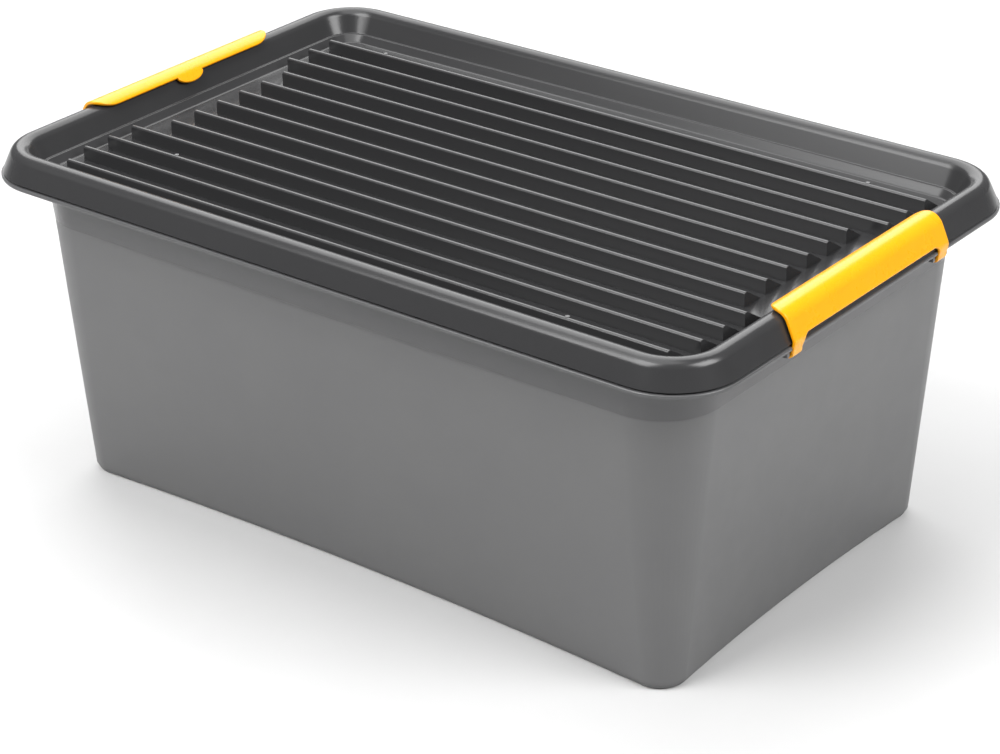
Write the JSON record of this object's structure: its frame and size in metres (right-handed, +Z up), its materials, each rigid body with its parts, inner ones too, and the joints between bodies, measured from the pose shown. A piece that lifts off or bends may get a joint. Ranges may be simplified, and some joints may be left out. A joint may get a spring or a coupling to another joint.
{
  "type": "lidded storage box with clip handles",
  "caption": "Rectangular lidded storage box: tapered grey tub, sunken ribbed dark lid that works as a tray, and a hinged yellow clip handle at each short end.",
  "frame": {"origin": "middle of the base, at the level the box stands on", "axes": "+X along the long side, towards clip_right; +Y along the short side; +Z up"},
  "size_m": [0.5832, 0.38, 0.2473],
  "materials": {
    "grey_tub": "moulded polypropylene, satin, mid grey",
    "smoked_lid": "moulded polypropylene, glossy, dark smoked grey",
    "yellow_clip": "moulded polypropylene, satin gloss, warm yellow"
  },
  "bodies": {
    "container": {"container": "grey_tub"},
    "lid": {"lid": "smoked_lid"},
    "clip_left": {"clip_left": "yellow_clip"},
    "clip_right": {"clip_right": "yellow_clip"}
  },
  "joints": [
    {"name": "lid_lift", "type": "slide", "parent": "container", "child": "lid", "axis": [0, 0, 1], "range_m": [0, 0.36]},
    {"name": "clip_right_hinge", "type": "hinge", "parent": "container", "child": "clip_right", "pos_m": [0.286, 0, 0.2218], "axis": [0, 1, 0], "range_deg": [0, 115]},
    {"name": "clip_left_hinge", "type": "hinge", "parent": "container", "child": "clip_left", "pos_m": [-0.286, 0, 0.2218], "axis": [0, -1, 0], "range_deg": [0, 115]}
  ]
}
